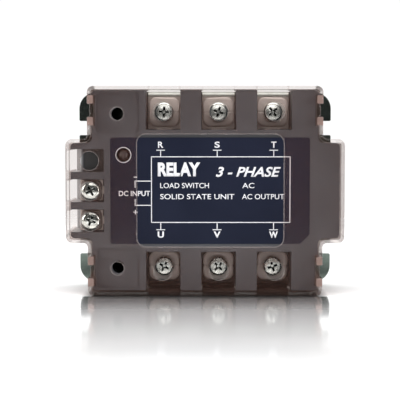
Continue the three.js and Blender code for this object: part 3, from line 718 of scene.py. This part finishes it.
def make_base_plate(finish):
    right, top = high("base_plate")[0], high("base_plate")[2]
    front, back = low("base_plate")[1], high("base_plate")[1]
    below, above = SLOT_Z - SLOT_HALF_WIDTH, SLOT_Z + SLOT_HALF_WIDTH
    slot_radius = SLOT_HALF_WIDTH * 0.999
    quarter = [(right, below, 0.6), (SLOT_END, below, slot_radius), (SLOT_END, above, slot_radius),
               (right, above, 0.6), (right, top, PLATE_RADIUS)]
    outline = rounded(four_quarters(quarter), 10)
    plate = add_object("mounting_plate", loft("plate", [(outline, back), (outline, front)]))
    bore, head = COUNTERSINK["bore"], COUNTERSINK["head"]
    profile = [(0, front - 1), (bore, front - 1), (bore, -bore), (head, 0), (head, 1), (0, 1)]
    axes = [middle(name) for name in PLATE_SCREWS]
    combine(plate, [lathe("countersink", profile, axis.x, axis.z, steps=40) for axis in axes])
    soften(plate, 0.28, 2, 50)
    finished(smooth(plate, 25, level_faces=True), "base_plate", finish["plate"])


# ---- Screws, washers and clamps ----
HEAD_HEIGHT = 2.4
RECESS_CENTRE = 0.55  # radius of the recess floor that keeps the head's zinc, where the rest of the recess has painted shade
TURNS = {  # degrees that each recess and each clamp is turned by
    "line_r": (4, 1.5), "line_s": (18, -2), "line_t": (50, 1), "load_u": (28, -1), "load_v": (43, 1.5),
    "load_w": (73, 3), "control_minus": (62, 1), "control_plus": (20, -1.5),
}


def recess_tool(top, reach, slot, depth):
    """A tapered cross, wider at the head's face than at its floor."""
    def cross(reach, slot):
        inner = slot + 0.34
        arm = [(reach, -slot), (reach, slot), (inner, slot), (slot, inner)]
        return [(x * c - z * s, x * s + z * c) for c, s in ((1, 0), (0, 1), (-1, 0), (0, -1)) for x, z in arm]
    return loft("recess", [(cross(reach * 1.06, slot * 1.05), top - 0.4), (cross(reach, slot), top),
                           (cross(reach * 0.62, slot * 0.72), top + depth * 0.7),
                           (cross(slot * 1.4, slot * 0.5), top + depth)])


def threaded_shank(radius, start, end, pitch=0.7, depth=0.38, around=28):
    """A cylinder with a helical thread, along Y from start to end."""
    rows = int((end - start) / pitch * 7)
    vertices = []
    for row in range(rows + 1):
        y = start + (end - start) * row / rows
        tip = min(1.0, (end - y) / (1.2 * pitch))
        for i in range(around):
            phase = (y / pitch - i / around) % 1.0
            ridge = 1 - abs(2 * phase - 1)
            r = radius - depth + depth * ridge * tip - 0.3 * (1 - tip)
            angle = 2 * math.pi * i / around
            vertices.append((r * math.cos(angle), y, r * math.sin(angle)))
    return mesh_of("thread", vertices, tube_faces(rows + 1, around))


def screw_mesh(node):
    """A pan-head screw round the Y axis, sized by the CAD screw of that name."""
    top, tip = low(node)[1], high(node)[1]
    radius = (high(node)[0] - low(node)[0]) / 2
    underside = top + HEAD_HEIGHT
    rim, edge = 0.35, 0.85
    bend = [(radius - edge * (1 - math.sin(a)), top + 0.2 + edge * (1 - math.cos(a)))
            for a in quarter_angles(8)]
    crown = [(0, top), (0.9, top + 0.012), (1.7, top + 0.06), (2.3, top + 0.13), *bend,
             (radius, underside - rim), (radius - rim * 0.3, underside - rim * 0.3),
             (radius - rim, underside), (0, underside)]
    head = add_object("head", lathe("head", crown, steps=72))
    for _ in range(2):
        head.data.materials.append(None)
    combine(head, [recess_tool(top, 2.0, 0.42, 1.75)], cut_slot=1)
    soften(head, 0.06, 2, 40)
    # Faces near the axis keep the head's zinc; the rest of the recess keeps its painted shade.
    for face in head.data.polygons:
        if math.hypot(face.center.x, face.center.z) < RECESS_CENTRE * MM:
            face.material_index = 0
    return merged("screw", [released(head), threaded_shank(2.0, underside - 0.2, tip)])


def spring_washer_mesh(node):
    """A split ring of square wire whose ends stand a little apart."""
    front, back = low(node)[1], high(node)[1]
    inner, outer, rows, gap = 2.15, 3.4, 60, math.radians(9)
    section = [(inner, back - 0.1), (inner + 0.1, back), (outer - 0.1, back), (outer, back - 0.1),
               (outer, front + 0.1), (outer - 0.1, front), (inner + 0.1, front), (inner, front + 0.1)]
    vertices = []
    for row in range(rows + 1):
        angle = gap + (2 * math.pi - 2 * gap) * row / rows
        lift = 0.03 * (row / rows - 0.5)
        vertices += [(r * math.cos(angle), y + lift, r * math.sin(angle)) for r, y in section]
    return mesh_of("spring_washer", vertices, tube_faces(rows + 1, len(section)))


def edge_distance(angle, half_x, half_z, radius):
    """Distance from the centre of a rounded rectangle to its edge in a direction."""
    c, s = abs(math.cos(angle)), abs(math.sin(angle))
    if c > 1e-9 and half_x / c * s <= half_z - radius:
        return half_x / c
    if s > 1e-9 and half_z / s * c <= half_x - radius:
        return half_z / s
    a, b = half_x - radius, half_z - radius
    along = a * c + b * s
    return along + math.sqrt(max(along * along - a * a - b * b + radius * radius, 0))


def clamp_mesh(node, turned):
    """A saddle washer: a rounded square plate with turned-down rims and a shallow fold across the screw."""
    lo, hi = low(node), high(node)
    half_x, half_z = (hi[0] - lo[0]) / 2, (hi[2] - lo[2]) / 2
    if turned:
        half_x, half_z = half_z, half_x
    front, back = lo[1], hi[1]
    radius = 0.52 * min(half_x, half_z)
    hole, around = 2.25, 144
    shares = (0.12, 0.3, 0.45, 0.58, 0.7, 0.8, 0.88)
    vertices = []
    for i in range(around):
        angle = 2 * math.pi * i / around
        c, s = math.cos(angle), math.sin(angle)
        notch = 0.28 * math.exp(-((s / 0.07) ** 2))
        edge = edge_distance(angle, half_x, half_z, radius) - notch

        def face(distance):
            fold = 0.3 * (abs(distance * s) / half_z) ** 1.5
            valley = 0.12 * math.exp(-((distance * s / 0.3) ** 2))
            seat = 0.16 * max(0.0, min(1.0, (4.5 - distance) / 0.5))
            return front + fold + valley + seat

        span = edge - hole
        ring = [(hole, face(hole) + 0.12), (hole + 0.08, face(hole) + 0.02)]
        ring += [(hole + span * t, face(hole + span * t)) for t in shares]
        ring += [(edge - 0.3, face(edge) + 0.03), (edge - 0.1, face(edge) + 0.14), (edge, face(edge) + 0.34),
                 (edge - 0.03, back - 0.12), (edge - 0.15, back), (hole + 0.05, back)]
        vertices += [(r * c, y, r * s) for r, y in ring]
    return mesh_of("clamp", vertices, grid_faces(around, len(ring), wrap_rows=True))


def make_clamps(finish):
    """Screw, spring washer and clamp of every terminal, each mesh shared by terminals of one kind."""
    for names, turned in ((POWER, False), (CONTROL, True)):
        first, quarter = names[0], math.pi / 2 if turned else 0
        # The control clamps take the clamp finish darkened as painted shade.
        zinc, washer = ("bright_zinc", "shaded_clamp") if turned else ("zinc", "clamp")
        screw, ring = screw_mesh(f"{first}_screw"), spring_washer_mesh(f"{first}_spring_washer")
        kinds = (
            ("screw", smoothed(screw, 28), (zinc, "recess"), 0),
            ("spring_washer", smoothed(ring, 30), (zinc,), 0),
            ("clamp", smoothed(clamp_mesh(f"{first}_clamp", turned), 24), (washer,), 1),
        )
        for kind, mesh, metals, which in kinds:
            for name in names:
                node = f"{name}_{kind}"
                turn = quarter + math.radians(TURNS[name][which])
                obj = placed(f"{node}_piece", mesh, middle(f"{name}_screw"), turn)
                finished(obj, node, *[finish[metal] for metal in metals])


# ---- Terminals ----
TERMINAL_BORE = 2.1


def strip(name, profile, half_width):
    """A bent strip: its profile (z, y) carried along X."""
    vertices = [(x, y, z) for x in (-half_width, half_width) for z, y in profile]
    return mesh_of(name, vertices, tube_faces(2, len(profile)))


def joined_terminal(plate, floor, top, parts, boss_radius, boss_end, softening):
    """A terminal plate with its tongue and pin, and a threaded boss behind it."""
    for name, spans in parts:
        combine(plate, [block(name, *spans)], "UNION")
    combine(plate, [rod("boss", boss_radius, (floor + top) / 2, floor + boss_end, chamfer=0.3)], "UNION")
    combine(plate, [rod("bore", TERMINAL_BORE, top - 1, floor + 4)])
    return soften(plate, softening, 2, 40)


def power_terminal_mesh():
    axis = middle("line_r_screw")
    floor = low("line_r_clamp")[1] + 2.05
    top = floor - 1
    inner = low("line_r_clamp")[2] - axis.z - 0.85
    outer = high("line_r_terminal")[2] - axis.z
    leg_back = floor + 3.4

    def arc(radius):
        z, y = outer - 2, floor + 1
        return [(z + radius * math.sin(a), y - radius * math.cos(a)) for a in quarter_angles(8)]

    bend = arc(2) + [(outer, leg_back), (outer - 1, leg_back)] + arc(1)[::-1]
    plate = add_object("terminal", strip("terminal", [(inner, top), *bend, (inner, floor)], 6.3))
    pin_front = low("control_board")[1] - 0.8
    parts = (("tongue", ((-3, 3), (top + 0.02, floor - 0.02), (-12.5, inner + 1))),
             ("pin", ((-0.6, 0.6), (pin_front, floor - 0.05), (-12.48, -11.3))))
    joined_terminal(plate, floor, top, parts, 3.2, 3, 0.14)
    leg = (outer - 2.1) * MM
    plate.data.polygons.foreach_set("material_index", [int(f.center.z > leg) for f in plate.data.polygons])
    return plate


def control_terminal_mesh():
    floor = low("control_minus_clamp")[1] + 1.65
    top = floor - 0.8
    pin_back = high("control_board")[1] + 0.6
    plate = add_object("terminal", block("terminal", (-3.9, 3.9), (top, floor), (-4.4, 4.2)))
    parts = (("tongue", ((-1.5, 1.5), (top + 0.02, floor - 0.02), (-10.6, -4))),
             ("pin", ((-0.5, 0.5), (top + 0.05, pin_back), (-10.58, -9.8))))
    return joined_terminal(plate, floor, top, parts, 3, 2.8, 0.12)


def make_terminals(finish):
    """The lower power terminals are turned over, and darker as they lie in the shade."""
    power, control = (POWER, power_terminal_mesh(), 0), (CONTROL, control_terminal_mesh(), -math.pi / 2)
    for names, made, turn in (power, control):
        mesh = smoothed(released(made), 30)
        lower_mesh = mesh.copy()
        for name in names:
            axis = middle(f"{name}_screw")
            lower = names is POWER and axis.z < 0
            shape, angle = (lower_mesh, math.pi) if lower else (mesh, turn)
            # Painted shade: the lower power terminals take the darkened terminal finishes.
            metals = ("dark_terminal", "dark_end") if lower else ("terminal", "light_end")
            obj = placed(f"{name}_terminal_piece", shape, axis, angle)
            finished(obj, f"{name}_terminal", *[finish[metal] for metal in metals])


def make_plate_screws(finish):
    back, tip = high("plate_screw_1")[1], low("plate_screw_1")[1]
    profile = [(0, back), (2.7, back), (2.8, back - 0.08), (1.5, back - 1.5), (1.5, back - 1.7),
               (0, back - 1.7)]
    head = add_object("head", lathe("head", profile, steps=48))
    tool = recess_tool(0, 1.5, 0.4, 1.15)
    tool.transform(Matrix.Translation((0, back * MM, 0)) @ Matrix.Rotation(math.pi, 4, "X"))
    combine(head, [tool])
    soften(head, 0.05, 2, 45)
    shank = threaded_shank(1.45, 0, back - 1.6 - tip, pitch=0.5, depth=0.25, around=20)
    shank.transform(Matrix.Translation((0, (back - 1.6) * MM, 0)) @ Matrix.Rotation(math.pi, 4, "X"))
    mesh = smoothed(merged("plate_screw", [released(head), shank]), 28)
    for turn, name in zip((12, 57, 80, 33), PLATE_SCREWS):
        finished(placed(f"{name}_piece", mesh, middle(name), math.radians(turn)), name, finish["zinc"])


# ---- Label, its print and the lamp ----
RECT = {"left": -20.3, "right": 32.2, "low": -12.0, "high": 12.9}
LINE = 0.3
PHASE_X = (-16.8, 4.6, 26.0)
INK_DEPTH = 0.03
PRINT_SPAN = (low("label")[1], low("label")[1] + INK_DEPTH)
LOWER_WIDTHS = {"U": 2.4, "V": 2.6, "W": 3.3}
WORDS = (  # text, left, base, width, height, boldness and slant
    ("RELAY", -17.9, 5.5, 16.1, 5.3, 0.05),
    ("3 - PHASE", 4.1, 5.3, 24.6, 3.8, 0.025, 0.3),
    ("LOAD SWITCH", -17.0, 1.0, 18.5, 2.0, 0.008),
    ("AC", 14.1, 1.0, 4.6, 2.0, 0.008),
    ("SOLID STATE UNIT", -17.0, -3.2, 28.1, 2.0, 0.008),
    ("AC OUTPUT", 14.0, -3.2, 16.0, 2.0, 0.008),
    ("DC INPUT", -32.7, -2.0, 11.9, 2.0, 0.02),
)


def make_label(finish):
    left, front, bottom = low("label")
    right, back, top = high("label")
    chamfer = 3.6
    outline = rounded([(left, bottom, 0.7), (right - chamfer, bottom, 0.2), (right, bottom + chamfer, 0.2),
                       (right, top, 0.7), (left, top, 0.7)], 6)
    film = add_object("navy_label", loft("label", [(outline, back), (outline, front + INK_DEPTH)]))
    lamp = middle("status_led")
    combine(film, [rod("lamp_hole", 2.6, front - 1, back + 1, x=lamp.x, z=lamp.z, steps=48)])
    soften(film, 0.04, 1, 50)
    finished(smooth(film, 25, level_faces=True), "label", finish["film"])
    make_print(finish, lamp)


def bar(x0, x1, z0, z1):
    return block("bar", (min(x0, x1), max(x0, x1)), PRINT_SPAN, (min(z0, z1), max(z0, z1)))


def horizontal(x0, x1, z):
    return bar(x0, x1, z - LINE / 2, z + LINE / 2)


def vertical(x, z0, z1):
    return bar(x - LINE / 2, x + LINE / 2, z0, z1)


def words(text, left, base, width, height, bold, slant=0.0):
    """Lettering fitted to a width and a capital height, as a thin raised mesh."""
    curve = bpy.data.curves.new("words", "FONT")
    curve.body = text
    curve.size = 1.0
    curve.offset = bold
    curve.shear = slant
    curve.resolution_u = 4
    holder = add_object("words", curve)
    mesh = evaluated_mesh(holder)
    bpy.data.objects.remove(holder)
    xs = [v.co.x for v in mesh.vertices]
    ys = [v.co.y for v in mesh.vertices]
    x_low, y_low = min(xs), min(ys)
    scale_x = width / (max(xs) - x_low)
    scale_z = height / (max(ys) - y_low)
    bm = bmesh.new()
    bm.from_mesh(mesh)
    bpy.data.meshes.remove(mesh)
    for v in bm.verts:
        x, z = left + (v.co.x - x_low) * scale_x, base + (v.co.y - y_low) * scale_z
        v.co = Vector((x * MM, PRINT_SPAN[0] * MM, z * MM))
    bmesh.ops.remove_doubles(bm, verts=bm.verts, dist=1e-7)
    raised = bmesh.ops.extrude_face_region(bm, geom=bm.faces[:])
    for item in raised["geom"]:
        if isinstance(item, bmesh.types.BMVert):
            item.co.y += INK_DEPTH * MM
    bmesh.ops.recalc_face_normals(bm, faces=bm.faces)
    result = bpy.data.meshes.new("words")
    bm.to_mesh(result)
    bm.free()
    return result


def ring_mesh(x, z, inner, outer, steps=64):
    front, back = PRINT_SPAN
    section = ((inner, front), (outer, front), (outer, back), (inner, back))
    vertices = [(x + dx, y, z + dz) for r, y in section for dx, dz in circle(r, steps)]
    return mesh_of("ring", vertices, grid_faces(4, steps, wrap_rows=True))


def phase_marks():
    """The letter of each power terminal, and its lead to the frame."""
    top, bottom, marks = RECT["high"], RECT["low"], []
    for x, upper, lower in zip(PHASE_X, "RST", "UVW"):
        marks += [
            horizontal(x - 1.6, x + 1.6, top + 2.5),
            vertical(x, top, top + 2.5),
            words(upper, x - 1.0, 16.3, 2.0, 2.35, 0.02),
            horizontal(x - 1.65, x + 1.65, bottom - 2.8),
            vertical(x, bottom - 2.8, bottom),
            words(lower, x - LOWER_WIDTHS[lower] / 2, -17.9, LOWER_WIDTHS[lower], 2.45, 0.04),
        ]
    return marks


def make_print(finish, lamp):
    left, right = RECT["left"], RECT["right"]
    lead = left - 5.9
    marks = [
        horizontal(left - LINE / 2, right + LINE / 2, RECT["high"]),
        horizontal(left - LINE / 2, right + LINE / 2, RECT["low"]),
        vertical(left, RECT["low"], RECT["high"]),
        vertical(right, RECT["low"], RECT["high"]),
        ring_mesh(lamp.x, lamp.z, 2.74, 2.98),
        *phase_marks(),
        horizontal(lead, left, 3.7),
        vertical(lead - 0.3, 1.2, 3.9),
        horizontal(lead, left, -5.5),
        vertical(lead - 0.3, -5.7, -3.1),
        horizontal(lead - 0.85, lead + 0.45, 5.2),
        horizontal(lead - 1.0, lead + 0.6, -8.1),
        vertical(lead - 0.2, -8.9, -7.3),
        *[words(*line) for line in WORDS],
    ]
    print_piece = add_object("label_print", merged("label_print", marks))
    print_piece.data.materials.append(finish["ink"])
    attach(print_piece, "root")


def make_lamp(finish):
    node = "status_led"
    axis = middle(node)
    tip, lead_end = low(node)[1], high(node)[1]
    radius, flange = 2.5, 2.9
    dome = [(radius * math.cos(a), tip + radius * (1 - math.sin(a))) for a in quarter_angles(8)[:-1]]
    base = lead_end - 4.2
    profile = [(0, base), (flange - 0.15, base), (flange, base - 0.15), (flange, base - 0.85),
               (flange - 0.15, base - 1), (radius, base - 1)] + dome + [(0, tip)]
    lamp = add_object("lamp", lathe("lamp", profile, axis.x, axis.z, steps=48))
    legs = [block("leg", (x - 0.25, x + 0.25), (base - 0.5, lead_end), (axis.z - 0.25, axis.z + 0.25))
            for x in (axis.x - 1.27, axis.x + 1.27)]
    combine(lamp, legs, "UNION")
    finished(smooth(lamp, 30), node, finish["lens"])


# ---- Housing and the pieces inside it ----
INSIDE_PIECES = {  # for each phase: the finish and the width of its softened edges
    "insulator": ("ceramic", 0.1),
    "triac": ("epoxy", 0.12),
    "optocoupler": ("epoxy", 0.08),
    "snubber_capacitor": ("capacitor", 0.25),
    "snubber_resistor": ("resistor", 0.06),
}


def carry_over(node, material, width):
    """Keeps a CAD node's own shape, with its flat faces joined up, its edges softened and a real finish."""
    obj = frame["nodes"][node]
    obj.data.materials.clear()
    obj.data.materials.append(material)
    planar = obj.modifiers.new("planar", "DECIMATE")
    planar.decimate_type = "DISSOLVE"
    planar.angle_limit = math.radians(1)
    bevel(obj, width, angle=40).harden_normals = True


def make_inside(finish):
    carry_over("housing", finish["housing"], 0.28)
    carry_over("control_board", finish["board"], 0.1)
    carry_over("resin_fill", finish["resin"], 0.2)
    for phase in PHASES:
        for piece, (material, width) in INSIDE_PIECES.items():
            carry_over(f"{piece}_{phase}", finish[material], width)


# ---- Floor and light ----
MIRROR = (((-78, 0.0), (-54, 1.0), (54, 1.0), (78, 0.0)),
          ((-195, 0.0), (-170, 0.2), (-140, 0.42), (-103, 0.58), (-67, 0.72), (-47, 0.9), (-35, 0.95),
           (-33, 0.0), (0, 0.0)))
# Painted contact shadow: the floor goes near black under the relay and just in front of it.
PAINTED_SHADOW_GREY = 0.02
PAINTED_CONTACT_SHADOW = (((-47, 0.0), (-42, 1.0), (42, 1.0), (47, 0.0)), ((-38, 0.0), (-34, 1.0), (0, 1.0), (8, 0.0)))
FLOOR_RADIUS, FLOOR_FADE, FLOOR_SIDES = 420.0, 250.0, 96


def make_floor():
    """A round white floor that fades out at its rim, mirrors the relay over a stretch in front of it, and has
    a painted contact shadow under it.
    """
    z = low("cover")[2] - 0.02
    rim = [(x, y, z) for x, y in circle(FLOOR_RADIUS, FLOOR_SIDES)]
    floor = add_object("floor", mesh_of("floor", rim, [tuple(range(FLOOR_SIDES))]))
    finish = Finish("white_acrylic", (0.9, 0.9, 0.9), 0.5, Specular_IOR_Level=0.0)
    grain = finish.ranged(finish.noise(40, 2), 0.88, 0.92)
    # The painted contact shadow is mixed into the floor's colour here.
    colour = finish.mixed(grain, PAINTED_SHADOW_GREY, share=finish.patch(*PAINTED_CONTACT_SHADOW))
    finish.links.new(colour, finish.shader.inputs["Base Color"])
    mirror = finish.shader_of("Glossy", (0.95, 0.95, 0.95), Roughness=0.1)
    clear = finish.shader_of("Transparent", (1.0, 1.0, 1.0))
    polished = finish.between(finish.patch(*MIRROR), finish.shader.outputs["BSDF"], mirror)
    distance = finish.nodes.new("ShaderNodeVectorMath")
    distance.operation = "LENGTH"
    finish.links.new(finish.coordinates.outputs["Object"], distance.inputs[0])
    fade_start, fade_end = FLOOR_FADE * MM, 0.98 * FLOOR_RADIUS * MM
    faded = finish.ranged(distance.outputs["Value"], 0.0, 1.0, fade_start, fade_end)
    finish.surface(finish.between(faded, polished, clear))
    floor.data.materials.append(finish.material)


WORLD_LEAN = (0.0, 0.87, 0.5)
WORLD_IN_FRONT, WORLD_BEHIND, BACKDROP = 0.03, 1.3, 1.02
SOFTBOXES = (  # place, size and power
    ("top_softbox", (0, -0.25, 0.75), (0.9, 0.5), 3.3),
    ("left_softbox", (-0.65, -0.5, 0.17), (0.45, 0.4), 3.5),
    ("front_softbox", (0, -0.6, 0.2), (0.3, 0.12), 0.3),
    ("right_softbox", (0.65, -0.5, 0.15), (0.35, 0.4), 3.4),
)


def make_softboxes():
    for name, place, size, power in SOFTBOXES:
        data = bpy.data.lights.new(name, "AREA")
        data.shape = "RECTANGLE"
        data.size, data.size_y = size
        data.energy = power
        lamp = add_object(name, data)
        lamp.location = place
        lamp.rotation_euler = (-Vector(place)).to_track_quat("-Z", "Y").to_euler()


def make_world():
    """A studio whose light is bright behind and above the relay and dark in front; its backdrop is white."""
    world = bpy.data.worlds.new("studio")
    bpy.context.scene.world = world
    world.use_nodes = True
    nodes, links = world.node_tree.nodes, world.node_tree.links
    background = nodes["Background"]
    background.inputs["Color"].default_value = (1.0, 1.0, 1.0, 1)
    coordinates = nodes.new("ShaderNodeTexCoord")
    lean = nodes.new("ShaderNodeVectorMath")
    lean.operation = "DOT_PRODUCT"
    lean.inputs[1].default_value = WORLD_LEAN
    links.new(coordinates.outputs["Generated"], lean.inputs[0])
    remap = add_node(nodes, "MapRange", From_Min=-0.45, From_Max=0.5, To_Min=WORLD_IN_FRONT,
                     To_Max=WORLD_BEHIND)
    remap.interpolation_type = "SMOOTHSTEP"
    links.new(lean.outputs["Value"], remap.inputs["Value"])
    rays = nodes.new("ShaderNodeLightPath")
    seen = add_node(nodes, "Mix", B=BACKDROP)
    links.new(rays.outputs["Is Camera Ray"], seen.inputs["Factor"])
    links.new(remap.outputs["Result"], seen.inputs["A"])
    links.new(seen.outputs["Result"], background.inputs["Strength"])
    bpy.context.scene.view_settings.view_transform = "Standard"


place_camera()
finish = make_materials()
make_cover(finish)
make_base_plate(finish)
make_clamps(finish)
make_terminals(finish)
make_plate_screws(finish)
make_label(finish)
make_lamp(finish)
make_inside(finish)
make_floor()
make_softboxes()
make_world()
